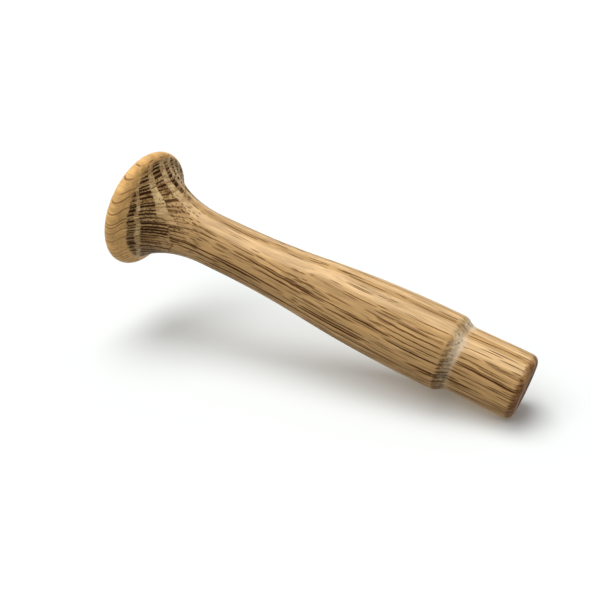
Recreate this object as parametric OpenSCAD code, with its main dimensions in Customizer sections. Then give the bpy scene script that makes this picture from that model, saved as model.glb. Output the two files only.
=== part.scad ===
// Shaker peg, turned from one piece of oak.
// The peg stands on its tenon end: +Z runs up the axis, from the tenon to the head,
// and the origin is the centre of the tenon's flat end. All sizes are in millimetres.

/* [Overall] */
// Length from the tenon's flat end to the crown of the head
peg_len = 88.9; // [80:0.1:110]

/* [Tenon] */
// Diameter of the tenon, which is glued into a drilled rail
tenon_d = 12.7; // [10:0.1:13.5]
// Length from the flat end to the edge of the shoulder
tenon_len = 15.2; // [12:0.1:22]
// Radius of the rounded corner round the flat end
end_round = 1.4; // [0.5:0.1:3]

/* [Shoulder] */
// Angle between the sloping shoulder and the axis, in degrees
shoulder_angle = 32; // [25:1:50]
// Radius of the edge between the shoulder and the barrel
shoulder_round = 1; // [0.3:0.1:1.2]

/* [Barrel] */
// Diameter of the barrel at its widest place
barrel_d = 15.1; // [14.8:0.1:18]
// Distance from the shoulder edge up to the widest place
swell_dist = 5; // [3:0.5:10]
// Part of the taper that bulges outwards, before it turns hollow
swell_share = 0.55; // [0.2:0.05:0.8]

/* [Neck] */
// Diameter of the neck, the thinnest place
neck_d = 10.8; // [8:0.1:12.5]
// Length of the straight stretch of the neck
neck_len = 5; // [1:0.1:8]

/* [Head] */
// Diameter of the head across its rim
head_d = 25; // [22:0.1:32]
// Radius of the rounded rim
rim_round = 1.7; // [1:0.1:2.2]
// Height of the crown above the widest circle of the rim
crown_h = 3.4; // [2.6:0.1:5]
// Distance from the widest circle of the rim in to the edge of the hollow underside
rim_lip = 1.6; // [0.8:0.1:2]
// Height of the hollow underside, from the neck to the rim
flare_h = 15.1; // [10:0.1:20]
// Part of a quarter ellipse that the hollow underside sweeps, in degrees
flare_sweep = 63; // [40:1:80]

/* [Hidden] */

tenon_r = tenon_d / 2;
barrel_r = barrel_d / 2;
neck_r = neck_d / 2;
head_r = head_d / 2;
underside_r = head_r - rim_lip;

// Head: the rim is an arc round rim_r, rim_z, and the dome is an arc tangent to it.
rim_r = head_r - rim_round;
rim_z = peg_len - crown_h;
dome_radius = (rim_r * rim_r + crown_h * crown_h - rim_round * rim_round)
    / (2 * (crown_h - rim_round));
dome_sweep = atan2(rim_r, dome_radius - crown_h);
rim_start = acos(1 - rim_lip / rim_round);
underside_z = rim_z - rim_round * sin(rim_start);

// Underside: part of a quarter ellipse that leaves the neck straight upwards.
flare_z = underside_z - flare_h;
flare_axial = flare_h / sin(flare_sweep);
flare_radial = (underside_r - neck_r) / (1 - cos(flare_sweep));

// Barrel: a bulging arc and a hollow arc that meet without a corner.
neck_z = flare_z - neck_len;
swell_z = tenon_len + swell_dist;
taper_sweep = 2 * atan2(barrel_r - neck_r, neck_z - swell_z);
taper_radius = (neck_z - swell_z) / sin(taper_sweep);
bulge_radius = taper_radius * swell_share;
hollow_radius = taper_radius - bulge_radius;
bulge_start = asin(swell_dist / bulge_radius);

// Shoulder: an edge round, and a straight slope down to the tenon.
shoulder_r = barrel_r - bulge_radius * (1 - cos(bulge_start));
slope_top_r = shoulder_r - shoulder_round * (1 - cos(shoulder_angle));
slope_top_z = tenon_len - shoulder_round * sin(shoulder_angle);
slope_foot_z = slope_top_z - (slope_top_r - tenon_r) / tan(shoulder_angle);

step_deg = 7.5;
bulge_steps = 16;
lathe_fn = 96;

// Points along an arc in the (radius, height) plane. Angles are in degrees from the
// outward direction, and the ellipse has one radius outwards and one along the axis.
function arc(r, z, radial, axial, from, to, steps) =
    [for (i = [0 : steps]) let (a = from + (to - from) * i / steps)
        [r + radial * cos(a), z + axial * sin(a)]];

function round_arc(r, z, radius, from, to) =
    arc(r, z, radius, radius, from, to, ceil(abs(to - from) / step_deg));

function tenon_outline() = concat(
    [[0, 0]],
    round_arc(tenon_r - end_round, end_round, end_round, -90, 0),
    [[tenon_r, slope_foot_z]]);

function shoulder_outline() =
    round_arc(shoulder_r - shoulder_round, tenon_len, shoulder_round, -shoulder_angle, 0);

function barrel_outline() = concat(
    arc(barrel_r - bulge_radius, swell_z, bulge_radius, bulge_radius,
        -bulge_start, taper_sweep, bulge_steps),
    arc(neck_r + hollow_radius, neck_z, hollow_radius, hollow_radius,
        180 + taper_sweep, 180, bulge_steps));

function underside_outline() =
    arc(neck_r + flare_radial, flare_z, flare_radial, flare_axial,
        180, 180 - flare_sweep, ceil(flare_sweep / step_deg) * 2);

function head_outline() = concat(
    round_arc(rim_r, rim_z, rim_round, -rim_start, 90 - dome_sweep),
    arc(0, peg_len - dome_radius, dome_radius, dome_radius,
        90 - dome_sweep, 90, bulge_steps));

module peg() {
    color([0.78, 0.62, 0.41])
        rotate_extrude($fn = lathe_fn)
            polygon(concat(
                tenon_outline(),
                shoulder_outline(),
                barrel_outline(),
                underside_outline(),
                head_outline()));
}

peg();
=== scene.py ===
"""Shaker peg: the finish of one turned oak peg that stands on its tenon.

The peg's outline is read from the CAD node and turned again as a fine mesh, with the
torn fibres of the shoulder as real relief. One procedural oak covers it, as if the peg
were cut from a block with growth rings, vessels and rays. Values named *_MM are in
millimetres, angles are in degrees, colours are sRGB as seen, and the frame is the
CAD's: +Z runs up the axis.
"""
import math
from types import SimpleNamespace

import bpy
import numpy as np
from mathutils import Euler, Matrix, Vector, noise


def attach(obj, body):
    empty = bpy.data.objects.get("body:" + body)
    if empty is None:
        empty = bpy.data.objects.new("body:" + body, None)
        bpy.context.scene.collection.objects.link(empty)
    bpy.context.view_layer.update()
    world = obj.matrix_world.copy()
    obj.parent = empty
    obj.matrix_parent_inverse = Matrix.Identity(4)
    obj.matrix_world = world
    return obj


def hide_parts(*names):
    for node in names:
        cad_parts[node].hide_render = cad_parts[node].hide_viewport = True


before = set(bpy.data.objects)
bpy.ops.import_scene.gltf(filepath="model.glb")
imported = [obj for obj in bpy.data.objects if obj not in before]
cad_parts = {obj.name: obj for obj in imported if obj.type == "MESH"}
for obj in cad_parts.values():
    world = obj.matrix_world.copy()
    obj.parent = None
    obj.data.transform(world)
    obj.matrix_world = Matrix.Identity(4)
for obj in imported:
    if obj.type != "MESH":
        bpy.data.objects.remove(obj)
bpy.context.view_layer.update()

MM = 0.001

# ---- Camera: the photograph's place and angle, seen from the peg ----------------
CAMERA_PLACE_MM = (0.0, -171.7, -10.5)
CAMERA_PITCH = 18.62
CAMERA_YAW = 0.94
CAMERA_ROLL = -64.2
CAMERA_LENS_MM = 56.14
CAMERA_NEAR_MM = 10.0
SENSOR_MM = 36.0

# ---- Light and surroundings -----------------------------------------------------
WORLD_LIGHT = 0.40
BACKGROUND_WHITE = 1.0
# Soft lights: where from in mm, how wide in degrees, and how strong.
KEY_LIGHT = ((330.0, -150.0, 190.0), 40.0, 1.45)
FILL_LIGHT = ((130.0, -340.0, 190.0), 50.0, 1.15)
STAGE_SIZE_MM = 1600.0
STAGE_COLOUR = (242, 245, 244)
FLOOR_GLOW = 0.36
BACKDROP_GLOW = 0.0
# The backdrop lies where the photograph's table is, just behind the lowest point of the
# lying peg: it faces this way, and stands so far along that way from the origin.
BACKDROP_FACING = (0.824, -0.513, 0.239)
BACKDROP_PLACE_MM = -5.9

# ---- Turned mesh ----------------------------------------------------------------
SEGMENTS = 224
RING_STEP_MM = 0.27
SMOOTH_STEPS = 3
CAD_HEIGHT_DIGITS = 3
# The turner's wobble: how deep, and how fast it changes over x, y and height.
WOBBLE_MM = 0.03
WOBBLE_PER_MM = (0.22, 0.22, 0.09)
# The torn fibres: between which heights, over how much they start and stop, how deep,
# which share of that they have on average, how fast they change over x, y and height,
# and the smoothness, step in scale and octaves of their noise.
SHOULDER_MM = (12.5, 15.3)
SHOULDER_SOFT_MM = 0.7
TORN_DEPTH_MM = 0.16
TORN_MEAN = 0.5
TORN_PER_MM = (2.6, 2.6, 0.8)
TORN_FRACTAL = (0.8, 2.1, 4)

# ---- Oak: numbers that shape it -------------------------------------------------
# *_NOISE: how fast it changes across and along the grain, per mm, then its detail, and
# its roughness where that isn't 0.5. *_SEED sends each cell to its own place in a noise.
# Most other pairs are ramps: between the two values a result goes smoothly from 0 to 1,
# or from 1 to 0 where fall takes the pair. A four also gives the two results.
NOISE_MIDDLE = (0.25, 0.75)

# Growth rings: the outward direction on the block, and how strongly they bow.
RING_TURN = 45.0
RING_BOW_MM = 12.0
RING_SWAY = 0.5
SWAY_NOISE = (0.05, 0.045, 1.0)
SWAY_MM = 1.2
# Heights, and how much further out the rings lie there than at the head.
RING_DRIFT_MM = ((8.0, 2.0), (22.0, 2.4), (30.0, 2.3), (45.0, 1.5), (56.0, 1.3), (82.0, 0.0))
# Where the porous earlywood of each ring starts and ends, outward from the axis.
EARLYWOOD_MM = (
    (-12.4, -11.0),
    (-9.6, -8.2),
    (-6.9, -5.2),
    (-4.0, -2.6),
    (-1.3, 0.5),
    (2.4, 4.9),
    (6.2, 8.4),
    (8.85, 10.0),
)
# How softly the earlywood starts and ends, and where each ring's number goes up.
EARLY_START_MM = (-0.25, 0.35)
EARLY_END_MM = (-0.25, 0.10)
NEXT_RING_MM = (-0.45, -0.35)
RIPPLE_NOISE = (0.5, 0.05, 2.0)
RIPPLE_MM = 1.1
# Outward from the first of these to the second the latewood is missing, as far sideways
# as the third.
MERGED_FROM_MM = (4.6, 4.9)
MERGED_TO_MM = (6.2, 6.5)
MERGED_SIDE_MM = (3.0, 6.0)

# Rays: the direction that they run in, how strongly they bow, how far apart they are,
# how much they sway, where they lie in their cells, how wide they are, how long and how
# often they show, how bold they are by height, and how far into earlywood they go.
RAY_TURN = 52.0
RAY_BOW_MM = 22.0
RAY_GAP_MM = 1.3
RAY_SWAY_NOISE = (0.3, 0.08, 1.0)
RAY_SWAY = 0.6
RAY_PLACE = (0.0, 1.0, 0.2, 0.8)
RAY_EDGE = (0.03, 0.11)
RAY_SEED = 7.3
RAY_LENGTH_PER_MM = 0.30
RAY_SHOWN = (0.55, 0.85)
RAY_BOLD_MM = (76.0, 82.0, 0.2, 0.85)
RAY_LATE = (0.0, 0.5)

# Bars of vessels between the rays: how far apart, how many bars each ring's row is
# shifted by, how unevenly they are spaced, how long they run, how much they wander,
# how wide and dark they are, and where they show.
BAR_GAP_MM = 0.55
BAR_SHIFT = 31.7
BAR_SCATTER = 0.7
BAR_SEED = 91.0
BAR_RUN_MM = 13.0
JAG_NOISE = (1.6, 0.35, 2.0)
JAG_MM = 0.24
BAR_WIDTH = (0.3, 0.9, 0.13, 0.36)
BAR_ENDS = (0.40, 0.50)
BAR_EDGE = (-0.08, 0.05)
BAR_DARKNESS = (0.42, 0.65, 0.7, 1.0)
BAR_EARLY = (0.25, 0.7)
BAR_FACING = (0.45, 0.95, 0.12, 1.0)
END_GRAIN_LIFE = 0.2
END_GRAIN_WIDER = 0.05
BAR_COVER = 0.96
# On the crown, the bars are broken into dashes.
DASH_SEED = 31.0
DASH_PER_MM = 1.2
DASH_SHOWN = (0.46, 0.54)

# Pores: how far apart, how long they run, how wide they are in earlywood and in the
# patches of latewood that have them, and how strong they are by facing.
PORE_GAP_MM = 0.33
PORE_SEED = 57.0
PORE_RUN_MM = 8.0
PORE_PATCH_NOISE = (0.4, 0.07, 1.0)
PORE_LATE = (0.38, 0.58, 0.04, 0.30)
PORE_EARLY = 0.38
PORE_ENDS = (0.38, 0.60)
PORE_EDGE = (-0.12, 0.04)
PORE_FACING = (0.35, 0.75, 0.85, 0.6)

# Strokes along the rays, which mottle the end grain.
STROKE_GAP_MM = 0.28
STROKE_LENGTH_MM = 2.2
STROKE_DETAIL = 1.0
STROKE_SHOWN = (0.36, 0.64)

# Where the surface cuts across the grain, and where it faces up.
END_GRAIN_FROM = (0.08, 0.45)
CROWN_FROM = (0.3, 0.8)

# The polished rim, whose lower edge slants in x, and the corner of the tenon end, which
# is darkened by a stain and by painted shade. The vessels hardly show on either.
RIM_FROM_MM = (83.0, 83.8)
RIM_TO_MM = (86.6, 87.3)
RIM_SLANT = 0.07
RIM_CLOSED = 0.9
TIP_MM = (0.5, 1.6)
TIP_CLOSED = 0.6

# The torn wood of the shoulder: its heights, its patches, and its worst side in x.
# Gaps are nicks in it, sunk in the relief and painted dark as shade, and the cover hides
# vessels under it.
RAGGED_NOISE = (1.6, 0.25, 3.0, 0.6)
RAGGED_MM = 2.6
TORN_FROM_MM = (12.0, 12.9)
TORN_TO_MM = (13.8, 14.7)
TORN_PATCH_PER_MM = 0.35
TORN_PATCH_SEED = 4.0
TORN_PATCH_DETAIL = 1.0
TORN_PATCHES = (0.30, 0.55, 0.3, 1.0)
TORN_SIDE_MM = (-4.0, 2.0, 0.28, 1.0)
GAP_NOISE = (2.0, 0.35, 2.0)
GAP_FROM_MM = (12.8, 13.7)
GAP_TO_MM = (14.6, 15.4)
GAP_SHOWN = (0.54, 0.66)
COVER_FROM_MM = (12.2, 13.0)
COVER_TO_MM = (15.3, 16.0)
COVER_SIDE_MM = (-4.0, 2.0, 0.2, 0.8)

# Variation of the wood's colour: three noises, and the greys that they multiply by.
FIBRE_NOISE = (4.0, 0.2, 4.0, 0.6)
FIBRE_GREY = (0.84, 1.16)
BLOTCH_NOISE = (0.15, 0.06, 2.0)
BLOTCH_GREY = (0.92, 1.08)
STRIPE_NOISE = (1.3, 0.1, 2.0)
STRIPE_GREY = (0.80, 1.16)

# How strongly each layer covers what is under it.
END_GRAIN_COVER = 0.85
RIM_COVER = 0.85
TORN_COVER = 0.7
# Painted shade in the torn wood's gaps.
GAP_SHADE_COVER = 0.6

LATEWOOD = (221, 183, 132)
EARLYWOOD = (194, 154, 100)
VESSEL = (78, 42, 18)
VESSEL_END = (52, 30, 16)
RAY_LINE = (128, 78, 38)
END_GRAIN = (216, 188, 140)
END_GRAIN_EARLY = (184, 150, 102)
STROKE_DARK = (196, 178, 154)
STROKE_LIGHT = (255, 255, 250)
RIM_WOOD = (238, 186, 112)
# The tenon end's corner: partly a stain, partly painted shade of the rounded corner.
TIP_STAIN_AND_SHADE = (206, 180, 158)
TORN_WOOD = (222, 205, 178)
# Painted shade in the gaps of the torn wood.
GAP_PAINTED_SHADE = (104, 76, 56)

# Roughness, gloss and relief, for plain wood, hollow vessels and torn fibres.
WOOD_ROUGH = (0.3, 0.7, 0.46, 0.58)
HOLLOW_ROUGH = 0.85
TORN_ROUGH = 0.9
WOOD_GLOSS = 0.22
HOLLOW_GLOSS = 0.02
HOLLOW_DEEP = 0.7
FUZZ_NOISE = (6.0, 2.5, 3.0, 0.7)
FIBRE_RELIEF = 0.2
HOLLOW_RELIEF = 0.7
BUMP_STRENGTH = 0.6
BUMP_MM = 0.12


def srgb(colour):
    """A 0 to 255 sRGB colour as the linear RGBA that shaders take."""
    channels = [c / 255 for c in colour]
    linear = [c / 12.92 if c <= 0.04045 else ((c + 0.055) / 1.055) ** 2.4 for c in channels]
    return (*linear, 1.0)


# ---- A small helper that builds shader nodes ------------------------------------
class Graph:
    """Adds nodes to a node tree. Inputs may be numbers, tuples or sockets."""

    def __init__(self, tree):
        self.tree = tree
        self.tree.nodes.clear()

    def node(self, kind, **settings):
        made = self.tree.nodes.new(kind)
        for name, value in settings.items():
            setattr(made, name, value)
        return made

    def feed(self, socket, value):
        if isinstance(value, bpy.types.NodeSocket):
            self.tree.links.new(value, socket)
        elif value is not None:
            socket.default_value = value

    def math(self, operation, a, b=None):
        made = self.node("ShaderNodeMath", operation=operation)
        self.feed(made.inputs[0], a)
        self.feed(made.inputs[1], b)
        return made.outputs[0]

    def add(self, a, b):
        return self.math("ADD", a, b)

    def sub(self, a, b):
        return self.math("SUBTRACT", a, b)

    def mul(self, a, b):
        return self.math("MULTIPLY", a, b)

    def over(self, a, b):
        return self.math("DIVIDE", a, b)

    def larger(self, a, b):
        return self.math("MAXIMUM", a, b)

    def absolute(self, a):
        return self.math("ABSOLUTE", a)

    def ramp(self, value, start, end, low=0.0, high=1.0):
        """value mapped smoothly from start..end to low..high."""
        made = self.node("ShaderNodeMapRange", interpolation_type="SMOOTHSTEP")
        for name, item in zip(
            ("Value", "From Min", "From Max", "To Min", "To Max"),
            (value, start, end, low, high),
        ):
            self.feed(made.inputs[name], item)
        return made.outputs["Result"]

    def fall(self, value, start, end):
        """1 up to start, falling smoothly to 0 at end."""
        return self.ramp(value, start, end, 1.0, 0.0)

    def band(self, value, rise, fall):
        """1 from the end of rise to the start of fall, and 0 outside them."""
        return self.mul(self.ramp(value, *rise), self.fall(value, *fall))

    def curve(self, value, table):
        """A smooth curve through a table of (value, result) pairs."""
        result = table[0][1]
        for (start, low), (end, high) in zip(table, table[1:]):
            result = self.add(self.ramp(value, start, end, 0.0, high - low), result)
        return result

    def join(self, x, y, z=0.0):
        made = self.node("ShaderNodeCombineXYZ")
        for socket, value in zip(made.inputs, (x, y, z)):
            self.feed(socket, value)
        return made.outputs[0]

    def split(self, vector):
        made = self.node("ShaderNodeSeparateXYZ")
        self.feed(made.inputs[0], vector)
        return made.outputs

    def noise(self, place, detail=0.0, rough=0.5):
        """Noise over two or three coordinates, about 0.5 in the middle."""
        made = self.node("ShaderNodeTexNoise")
        self.feed(made.inputs["Vector"], self.join(*place))
        self.feed(made.inputs["Scale"], 1.0)
        self.feed(made.inputs["Detail"], detail)
        self.feed(made.inputs["Roughness"], rough)
        return made.outputs["Fac"]

    def shift(self, value, width):
        """A noise turned into a shift either way, over a range of this width."""
        return self.mul(self.sub(value, 0.5), width)

    def cells(self, place, kind, scatter=1.0):
        """Distance to the nearest cell point, and two random values for that cell."""
        made = self.node("ShaderNodeTexVoronoi", voronoi_dimensions=kind)
        self.feed(made.inputs["W" if kind == "1D" else "Vector"], place)
        self.feed(made.inputs["Scale"], 1.0)
        self.feed(made.inputs["Randomness"], scatter)
        dice = self.split(made.outputs["Color"])
        return made.outputs["Distance"], dice[0], dice[1]

    def mix(self, factor, a, b, blend="MIX"):
        made = self.node("ShaderNodeMix", data_type="RGBA", blend_type=blend)
        sockets = [s for s in made.inputs if s.enabled]
        for socket, value in zip(sockets, (factor, a, b)):
            self.feed(socket, value)
        return [s for s in made.outputs if s.enabled][0]


# ---- Oak: a block of wood, from which the peg is cut ----------------------------
def turned(graph, x, y, x_share, y_share):
    """How far a point or direction lies one way across the axis."""
    return graph.add(graph.mul(x, x_share), graph.mul(y, y_share))


class Block:
    """Coordinates of the oak block, in mm, as sockets of one graph: x, y and z as on
    the peg, out from ring to ring, side along the rings, and along from ray to ray."""

    def __init__(self, graph):
        self.graph = graph
        place = graph.node("ShaderNodeTexCoord").outputs["Object"]
        self.x, self.y, self.z = (graph.mul(axis, 1 / MM) for axis in graph.split(place))
        sway = graph.shift(self.noise(*SWAY_NOISE), SWAY_MM)
        turn = math.radians(RING_TURN)
        out = turned(graph, self.x, self.y, -math.cos(turn), -math.sin(turn))
        self.side = turned(graph, self.x, self.y, math.sin(turn), -math.cos(turn))
        self.out = self.bent_out(out, sway)
        lean = math.radians(RAY_TURN)
        along = turned(graph, self.x, self.y, math.sin(lean), -math.cos(lean))
        self.along = self.bent_along(along, out, sway)

    def bent_out(self, out, sway):
        """The growth rings bow, sway, and drift with height."""
        graph = self.graph
        bow = graph.over(graph.mul(self.side, self.side), 2 * RING_BOW_MM)
        out = graph.add(graph.add(out, bow), graph.mul(sway, RING_SWAY))
        return graph.sub(out, graph.curve(self.z, RING_DRIFT_MM))

    def bent_along(self, along, out, sway):
        """The rays bow and sway too."""
        graph = self.graph
        fan = graph.over(graph.mul(out, out), 2 * RAY_BOW_MM)
        return graph.add(graph.add(along, fan), sway)

    def noise(self, across, lengthwise, detail, rough=0.5):
        """Noise that is stretched along the peg's axis."""
        return self.noise_over((self.x, self.y), across, lengthwise, detail, rough)

    def noise_over(self, axes, across, lengthwise, detail, rough=0.5):
        """The same over other axes than x and y, to follow the rings or the rays."""
        place = [self.graph.mul(axis, across) for axis in axes]
        place.append(self.graph.mul(self.z, lengthwise))
        return self.graph.noise(place, detail, rough)


def earlywood(graph, block):
    """1 in the porous earlywood of each growth ring and 0 in the dense latewood, and a
    number that goes up by BAR_SHIFT with each ring."""
    ripple = block.noise_over([block.along], *RIPPLE_NOISE)
    out = graph.add(block.out, graph.shift(ripple, RIPPLE_MM))
    total, shift = 0.0, 0.0
    for start, end in EARLYWOOD_MM:
        rise = [start + edge for edge in EARLY_START_MM]
        fall = [end + edge for edge in EARLY_END_MM]
        total = graph.add(graph.band(out, rise, fall), total)
        step = [start + edge for edge in NEXT_RING_MM]
        shift = graph.add(graph.ramp(out, *step, 0.0, BAR_SHIFT), shift)
    merged = graph.band(out, MERGED_FROM_MM, MERGED_TO_MM)
    merged = graph.mul(merged, graph.fall(block.side, *MERGED_SIDE_MM))
    return graph.larger(total, merged), shift


def bars(graph, block, early, shift, zone):
    """Rows of vessels side by side, which look like dark bars on end grain, shorter on
    the crown, and like long dark streaks where a side faces outward from the rings."""
    jag = block.noise_over([block.along, block.out], *JAG_NOISE)
    place = graph.add(block.along, graph.shift(jag, JAG_MM))
    place = graph.add(graph.over(place, BAR_GAP_MM), shift)
    distance, pick, size = graph.cells(place, "1D", BAR_SCATTER)
    run = graph.noise((graph.mul(pick, BAR_SEED), graph.over(block.z, BAR_RUN_MM), size))
    life = graph.add(run, graph.mul(zone.end_grain, END_GRAIN_LIFE))
    wider = graph.mul(zone.end_grain, END_GRAIN_WIDER)
    width = graph.add(graph.ramp(pick, *BAR_WIDTH), wider)
    radius = graph.mul(graph.ramp(life, *BAR_ENDS), width)
    dark = graph.fall(graph.sub(distance, radius), *BAR_EDGE)
    dark = graph.mul(dark, graph.ramp(life, *BAR_DARKNESS))
    dash = graph.noise((graph.mul(pick, DASH_SEED), graph.mul(block.out, DASH_PER_MM), size))
    dash = graph.larger(graph.sub(1.0, zone.crown), graph.ramp(dash, *DASH_SHOWN))
    dark = graph.mul(dark, dash)
    shown = graph.larger(zone.end_grain, graph.ramp(zone.facing, *BAR_FACING))
    return graph.mul(graph.mul(dark, graph.ramp(early, *BAR_EARLY)), shown)


def pores(graph, block, early, zone):
    """Single fine vessels: dots on end grain, short scratches on the sides."""
    along, out = graph.over(block.along, PORE_GAP_MM), graph.over(block.out, PORE_GAP_MM)
    distance, pick, size = graph.cells(graph.join(along, out), "2D")
    run = graph.noise((graph.mul(pick, PORE_SEED), graph.over(block.z, PORE_RUN_MM), size))
    late = graph.ramp(block.noise(*PORE_PATCH_NOISE), *PORE_LATE)
    width = graph.ramp(early, 0.0, 1.0, late, PORE_EARLY)
    radius = graph.mul(graph.ramp(run, *PORE_ENDS), width)
    dark = graph.fall(graph.sub(distance, radius), *PORE_EDGE)
    return graph.mul(dark, graph.ramp(zone.facing, *PORE_FACING))


def rays(graph, block):
    """Thin sheets across the rings."""
    sway = graph.mul(block.noise_over([block.out], *RAY_SWAY_NOISE), RAY_SWAY)
    turns = graph.add(graph.over(block.along, RAY_GAP_MM), sway)
    cell = graph.math("FLOOR", turns)
    dice = graph.node("ShaderNodeTexWhiteNoise", noise_dimensions="1D")
    graph.feed(dice.inputs["W"], cell)
    shift, kept = graph.split(dice.outputs["Color"])[0:2]
    centre = graph.ramp(shift, *RAY_PLACE)
    away = graph.absolute(graph.sub(graph.math("FRACT", turns), centre))
    length = graph.noise((graph.mul(cell, RAY_SEED), graph.mul(block.z, RAY_LENGTH_PER_MM)))
    shown = graph.ramp(graph.add(kept, length), *RAY_SHOWN)
    return graph.mul(graph.fall(away, *RAY_EDGE), shown)


def strokes(graph, block):
    """Light and dark strokes along the rays, which mottle the end grain."""
    place = (
        graph.over(block.along, STROKE_GAP_MM),
        graph.over(block.out, STROKE_LENGTH_MM),
        graph.over(block.z, BAR_RUN_MM),
    )
    return graph.ramp(graph.noise(place, STROKE_DETAIL), *STROKE_SHOWN)


def torn_wood(graph, block):
    """The pale torn fibres on the shoulder, and the gaps between them, where shade is
    painted.
    """
    height = graph.add(block.z, graph.shift(block.noise(*RAGGED_NOISE), RAGGED_MM))
    place = [graph.mul(axis, TORN_PATCH_PER_MM) for axis in (block.x, block.y)]
    patch = graph.noise([*place, TORN_PATCH_SEED], TORN_PATCH_DETAIL)
    torn = graph.band(height, TORN_FROM_MM, TORN_TO_MM)
    torn = graph.mul(torn, graph.ramp(patch, *TORN_PATCHES))
    torn = graph.mul(torn, graph.ramp(block.x, *TORN_SIDE_MM))
    nick = graph.ramp(block.noise(*GAP_NOISE), *GAP_SHOWN)
    return torn, graph.mul(graph.band(height, GAP_FROM_MM, GAP_TO_MM), nick)


def zones(graph, block):
    """Where on the peg a point is: on end grain, on the crown, on the rim, on the tip,
    how squarely it faces the rings, and how much its vessels show."""
    normal = graph.split(graph.node("ShaderNodeTexCoord").outputs["Normal"])
    lean = math.radians(RAY_TURN)
    facing = turned(graph, normal[0], normal[1], math.cos(lean), math.sin(lean))
    slanted = graph.sub(block.z, graph.mul(block.x, RIM_SLANT))
    rim = graph.mul(graph.ramp(slanted, *RIM_FROM_MM), graph.fall(block.z, *RIM_TO_MM))
    tip = graph.fall(block.z, *TIP_MM)
    polished = graph.larger(graph.mul(rim, RIM_CLOSED), graph.mul(tip, TIP_CLOSED))
    cover = graph.band(block.z, COVER_FROM_MM, COVER_TO_MM)
    cover = graph.mul(cover, graph.ramp(block.x, *COVER_SIDE_MM))
    return SimpleNamespace(
        end_grain=graph.ramp(graph.absolute(normal[2]), *END_GRAIN_FROM),
        crown=graph.ramp(normal[2], *CROWN_FROM),
        facing=graph.absolute(facing),
        rim=rim,
        tip=tip,
        porous=graph.mul(graph.sub(1.0, polished), graph.sub(1.0, cover)),
    )


def grain(graph, block, zone):
    """Everything that the grain shows at a point, each as 0 to 1."""
    early, shift = earlywood(graph, block)
    torn, gap = torn_wood(graph, block)
    return SimpleNamespace(
        early=early,
        bar=graph.mul(bars(graph, block, early, shift, zone), zone.porous),
        pore=graph.mul(pores(graph, block, early, zone), zone.porous),
        ray=rays(graph, block),
        stroke=strokes(graph, block),
        fibre=block.noise(*FIBRE_NOISE),
        torn=torn,
        gap=gap,
    )


def shaded(graph, colour, value, greys):
    """A colour times a grey, which goes from low to high as a noise crosses its middle."""
    level = graph.ramp(value, *NOISE_MIDDLE, *greys)
    return graph.mix(1.0, colour, graph.join(level, level, level), "MULTIPLY")


def solid_wood(graph, block, zone, seen):
    """The colour of the wood itself, without its vessels and rays, and with a stain and
    painted shade on the tenon end's corner.
    """
    side = graph.mix(seen.early, srgb(LATEWOOD), srgb(EARLYWOOD))
    end = graph.mix(seen.early, srgb(END_GRAIN), srgb(END_GRAIN_EARLY))
    wood = graph.mix(graph.mul(zone.end_grain, END_GRAIN_COVER), side, end)
    wood = graph.mix(graph.mul(zone.rim, RIM_COVER), wood, srgb(RIM_WOOD))
    wood = shaded(graph, wood, seen.fibre, FIBRE_GREY)
    wood = shaded(graph, wood, block.noise(*BLOTCH_NOISE), BLOTCH_GREY)
    stripe = block.noise_over([block.along, block.out], *STRIPE_NOISE)
    wood = shaded(graph, wood, stripe, STRIPE_GREY)
    mottle = graph.mix(seen.stroke, srgb(STROKE_DARK), srgb(STROKE_LIGHT))
    wood = graph.mix(graph.mul(zone.end_grain, zone.porous), wood, mottle, "MULTIPLY")
    # The tenon end's corner is darkened: partly a stain, partly painted shade.
    return graph.mix(zone.tip, wood, srgb(TIP_STAIN_AND_SHADE), "MULTIPLY")


def oak_colour(graph, block, zone, seen):
    """The wood with its rays and vessels, and with the torn shoulder over them, whose gaps
    get painted shade.
    """
    wood = solid_wood(graph, block, zone, seen)
    ray = graph.mul(seen.ray, graph.ramp(block.z, *RAY_BOLD_MM))
    ray = graph.mul(ray, graph.fall(seen.early, *RAY_LATE))
    wood = graph.mix(ray, wood, srgb(RAY_LINE))
    vessel = graph.mix(zone.end_grain, srgb(VESSEL), srgb(VESSEL_END))
    wood = graph.mix(seen.pore, wood, vessel)
    wood = graph.mix(graph.mul(seen.bar, BAR_COVER), wood, vessel)
    wood = graph.mix(graph.mul(seen.torn, TORN_COVER), wood, srgb(TORN_WOOD))
    # The torn wood's gaps are painted dark as shade.
    return graph.mix(graph.mul(seen.gap, GAP_SHADE_COVER), wood, srgb(GAP_PAINTED_SHADE))


def oak_roughness(graph, hollow, seen):
    """Satin wood, with matt vessels and torn fibres."""
    rough = graph.ramp(seen.fibre, *WOOD_ROUGH)
    rough = graph.larger(rough, graph.mul(hollow, HOLLOW_ROUGH))
    return graph.larger(rough, graph.mul(seen.torn, TORN_ROUGH))


def oak_bump(graph, block, hollow, seen):
    """Fine relief: fibres, hollow vessels, and the fuzz and gaps of torn wood."""
    height = graph.sub(graph.mul(seen.fibre, FIBRE_RELIEF), graph.mul(hollow, HOLLOW_RELIEF))
    height = graph.add(height, graph.mul(seen.torn, block.noise(*FUZZ_NOISE)))
    height = graph.sub(height, seen.gap)
    bump = graph.node("ShaderNodeBump")
    graph.feed(bump.inputs["Height"], height)
    graph.feed(bump.inputs["Strength"], BUMP_STRENGTH)
    graph.feed(bump.inputs["Distance"], BUMP_MM * MM)
    return bump.outputs["Normal"]


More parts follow.
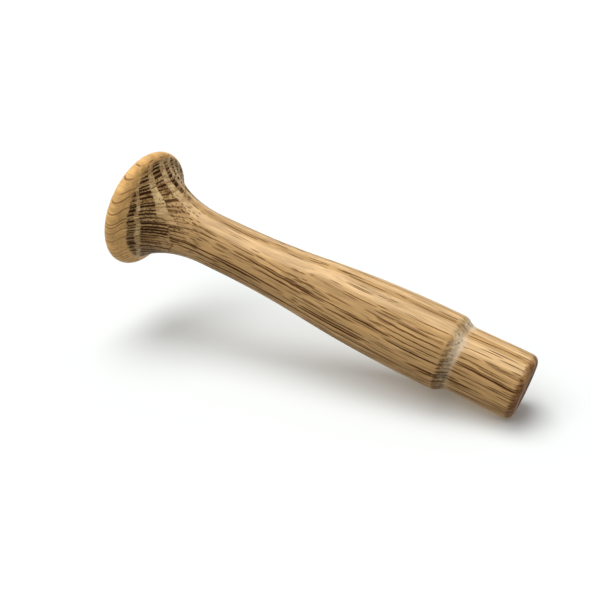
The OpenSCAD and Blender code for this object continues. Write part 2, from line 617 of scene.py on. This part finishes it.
def oak_material():
    """Bare satin oak with open pores, and rough torn wood on the shoulder."""
    material = bpy.data.materials.new("oak")
    material.use_nodes = True
    graph = Graph(material.node_tree)
    block = Block(graph)
    zone = zones(graph, block)
    seen = grain(graph, block, zone)
    hollow = graph.larger(seen.bar, seen.pore)
    gloss = graph.ramp(hollow, 0.0, HOLLOW_DEEP, WOOD_GLOSS, HOLLOW_GLOSS)
    shader = graph.node("ShaderNodeBsdfPrincipled")
    graph.feed(shader.inputs["Base Color"], oak_colour(graph, block, zone, seen))
    graph.feed(shader.inputs["Roughness"], oak_roughness(graph, hollow, seen))
    graph.feed(shader.inputs["Specular IOR Level"], gloss)
    graph.feed(shader.inputs["Normal"], oak_bump(graph, block, hollow, seen))
    output = graph.node("ShaderNodeOutputMaterial")
    graph.feed(output.inputs["Surface"], shader.outputs["BSDF"])
    return material


# ---- The turned peg -------------------------------------------------------------
def cad_outline(node):
    """The CAD node's outline as (radius, height) points from the tenon end to the crown."""
    points = np.empty(len(node.data.vertices) * 3)
    node.data.vertices.foreach_get("co", points)
    points = points.reshape(-1, 3) / MM
    heights = np.round(points[:, 2], CAD_HEIGHT_DIGITS)
    radii = np.hypot(points[:, 0], points[:, 1])
    outline = [(0.0, 0.0)]
    for height in np.unique(heights):
        outline.append((radii[heights == height].max(), height))
    return np.array(outline)


def even_outline(outline, step):
    """The outline resampled at an even step, with its small facets smoothed away."""
    lengths = np.hypot(*np.diff(outline, axis=0).T)
    along = np.concatenate([[0.0], np.cumsum(lengths)])
    count = int(round(along[-1] / step))
    even = np.linspace(0.0, along[-1], count + 1)
    radius = np.interp(even, along, outline[:, 0])
    height = np.interp(even, along, outline[:, 1])
    for _ in range(SMOOTH_STEPS):
        radius[1:-1] = (radius[:-2] + 2 * radius[1:-1] + radius[2:]) / 4
        height[1:-1] = (height[:-2] + 2 * height[1:-1] + height[2:]) / 4
    return radius, height


def window(value, low, high, soft):
    """1 between low and high, falling smoothly to 0 over soft just inside each end."""
    rise = min(max((value - low) / soft, 0.0), 1.0)
    fall = min(max((high - value) / soft, 0.0), 1.0)
    level = min(rise, fall)
    return level * level * (3 - 2 * level)


def relief(radius, height, angle):
    """How far the surface lies inside the turned outline here, in mm."""
    place = (radius * math.cos(angle), radius * math.sin(angle), height)
    wobble = noise.noise(Vector([p * share for p, share in zip(place, WOBBLE_PER_MM)]))
    depth = WOBBLE_MM * (1 + wobble) / 2
    torn = window(height, *SHOULDER_MM, SHOULDER_SOFT_MM)
    if torn > 0:
        spot = Vector([p * share for p, share in zip(place, TORN_PER_MM)])
        fibres = noise.fractal(spot, *TORN_FRACTAL)
        depth += torn * TORN_DEPTH_MM * (TORN_MEAN + fibres)
    return min(max(depth, 0.0), radius)


def turned_vertices(radius, height):
    """The two poles and the rings between them, with relief, in metres."""
    vertices = [(0.0, 0.0, height[0] * MM)]
    for i in range(1, len(radius) - 1):
        for j in range(SEGMENTS):
            angle = 2 * math.pi * j / SEGMENTS
            r = (radius[i] - relief(radius[i], height[i], angle)) * MM
            vertices.append((r * math.cos(angle), r * math.sin(angle), height[i] * MM))
    vertices.append((0.0, 0.0, height[-1] * MM))
    return vertices


def turned_faces(rings):
    """A fan round each pole, and quads between the rings."""
    def at(ring, segment):
        return 1 + (ring - 1) * SEGMENTS + segment % SEGMENTS

    top = 1 + (rings - 2) * SEGMENTS
    faces = []
    for j in range(SEGMENTS):
        faces.append((0, at(1, j + 1), at(1, j)))
        faces.append((top, at(rings - 2, j), at(rings - 2, j + 1)))
    for i in range(1, rings - 2):
        for j in range(SEGMENTS):
            faces.append((at(i, j), at(i, j + 1), at(i + 1, j + 1), at(i + 1, j)))
    return faces


def build_peg(material):
    """The visible peg, in place of the CAD node."""
    radius, height = even_outline(cad_outline(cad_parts["peg"]), RING_STEP_MM)
    mesh = bpy.data.meshes.new("turned_peg")
    mesh.from_pydata(turned_vertices(radius, height), [], turned_faces(len(radius)))
    mesh.polygons.foreach_set("use_smooth", [True] * len(mesh.polygons))
    mesh.update()
    mesh.materials.append(material)
    peg = bpy.data.objects.new("turned_peg", mesh)
    bpy.context.scene.collection.objects.link(peg)
    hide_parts("peg")
    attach(peg, "root")


# ---- Camera, light and floor ----------------------------------------------------
def build_camera():
    """The camera lies on its side, because the photographed peg does."""
    data = bpy.data.cameras.new("camera")
    data.sensor_width = SENSOR_MM
    data.lens = CAMERA_LENS_MM
    data.clip_start = CAMERA_NEAR_MM * MM
    camera = bpy.data.objects.new("camera", data)
    camera.location = Vector(CAMERA_PLACE_MM) * MM
    level = Euler((math.radians(90 + CAMERA_PITCH), 0, math.radians(CAMERA_YAW)))
    roll = Euler((0, 0, math.radians(CAMERA_ROLL)))
    camera.rotation_euler = (level.to_matrix() @ roll.to_matrix()).to_euler()
    bpy.context.scene.collection.objects.link(camera)
    bpy.context.scene.camera = camera


def build_world():
    """Plain white surroundings: full white where they are seen, softer as light."""
    world = bpy.data.worlds.new("surroundings")
    bpy.context.scene.world = world
    world.use_nodes = True
    graph = Graph(world.node_tree)
    ray = graph.node("ShaderNodeLightPath").outputs
    seen = graph.larger(ray["Is Glossy Ray"], ray["Is Transmission Ray"])
    seen = graph.larger(seen, ray["Is Camera Ray"])
    choice = graph.node("ShaderNodeMixShader")
    graph.feed(choice.inputs[0], seen)
    for socket, strength in zip(choice.inputs[1:], (WORLD_LIGHT, BACKGROUND_WHITE)):
        background = graph.node("ShaderNodeBackground")
        background.inputs["Color"].default_value = (1, 1, 1, 1)
        background.inputs["Strength"].default_value = strength
        graph.feed(socket, background.outputs[0])
    output = graph.node("ShaderNodeOutputWorld")
    graph.feed(output.inputs["Surface"], choice.outputs[0])


def build_light(name, come_from, softness, strength):
    """A wide soft light, far away. The key comes from beside the standing peg, which is
    above it in the photograph's view, and the fill from the camera's side."""
    data = bpy.data.lights.new(name, "SUN")
    data.angle = math.radians(softness)
    data.energy = strength
    light = bpy.data.objects.new(name, data)
    light.location = Vector(come_from) * MM
    light.rotation_euler = Vector(come_from).to_track_quat("Z", "Y").to_euler()
    bpy.context.scene.collection.objects.link(light)


def stage_material(name, strength):
    """Pale and matt with a glow that lifts it to white, and clear from behind."""
    material = bpy.data.materials.new(name)
    material.use_nodes = True
    graph = Graph(material.node_tree)
    matt = graph.node("ShaderNodeBsdfDiffuse")
    matt.inputs["Color"].default_value = srgb(STAGE_COLOUR)
    glow = graph.node("ShaderNodeEmission")
    glow.inputs["Strength"].default_value = strength
    both = graph.node("ShaderNodeAddShader")
    graph.feed(both.inputs[0], matt.outputs[0])
    graph.feed(both.inputs[1], glow.outputs[0])
    clear = graph.node("ShaderNodeBsdfTransparent")
    choice = graph.node("ShaderNodeMixShader")
    graph.feed(choice.inputs[0], graph.node("ShaderNodeNewGeometry").outputs["Backfacing"])
    graph.feed(choice.inputs[1], both.outputs[0])
    graph.feed(choice.inputs[2], clear.outputs[0])
    output = graph.node("ShaderNodeOutputMaterial")
    graph.feed(output.inputs["Surface"], choice.outputs[0])
    return material


def stage_sheet(name, facing, distance_mm, glow):
    """A large flat sheet of the stage. The camera and reflections see its front, and it
    neither lights the peg nor casts a shadow."""
    mesh = bpy.data.meshes.new(name)
    half = STAGE_SIZE_MM * MM / 2
    corners = [(-half, -half, 0), (half, -half, 0), (half, half, 0), (-half, half, 0)]
    mesh.from_pydata(corners, [], [(0, 1, 2, 3)])
    mesh.materials.append(stage_material(name, glow))
    sheet = bpy.data.objects.new(name, mesh)
    sheet.rotation_euler = facing.to_track_quat("Z", "Y").to_euler()
    sheet.location = facing * distance_mm * MM
    sheet.visible_diffuse = False
    sheet.visible_transmission = False
    sheet.visible_shadow = False
    bpy.context.scene.collection.objects.link(sheet)


def build_stage():
    """The pale floor that the peg stands on, and a pale backdrop beside it. The
    photograph's camera is a little below the floor's level, and sees the backdrop as
    the table under the lying peg."""
    stage_sheet("floor", Vector((0, 0, 1)), 0.0, FLOOR_GLOW)
    backdrop = Vector(BACKDROP_FACING).normalized()
    stage_sheet("backdrop", backdrop, BACKDROP_PLACE_MM, BACKDROP_GLOW)


bpy.context.scene.view_settings.view_transform = "Standard"
build_camera()
build_world()
build_light("key", *KEY_LIGHT)
build_light("fill", *FILL_LIGHT)
build_stage()
build_peg(oak_material())
